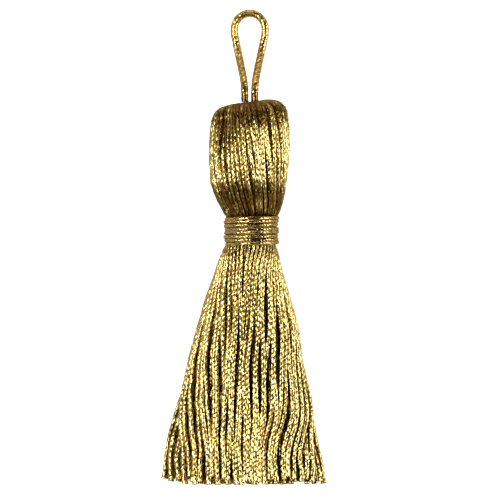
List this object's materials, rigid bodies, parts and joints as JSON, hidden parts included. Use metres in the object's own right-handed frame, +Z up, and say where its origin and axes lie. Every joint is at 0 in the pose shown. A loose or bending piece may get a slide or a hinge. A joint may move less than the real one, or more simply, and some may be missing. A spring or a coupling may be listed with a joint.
{
  "type": "tassel",
  "caption": "Small gold tassel of metallic yarn lying on its back: ribbed bulb head, wound neck binding, spread skirt of separate strands and a short hanging loop.",
  "frame": {"origin": "on the surface that the tassel lies on, under the middle of its length and width without the hanging loop", "axes": "+Y along the tassel from its skirt to its head, +X across it, +Z up from the surface"},
  "size_m": [0.0254, 0.0738, 0.0115],
  "materials": {
    "gold_yarn": "glinting twisted metallic yarn, bright where it faces the light and dark brown between the strands",
    "binding_thread": "glossy metallic thread wound in close turns",
    "loop_cord": "twisted metallic cord"
  },
  "bodies": {
    "root": {"folded_yarn": "gold_yarn", "neck_binding": "binding_thread", "hanging_loop": "loop_cord"}
  },
  "joints": []
}
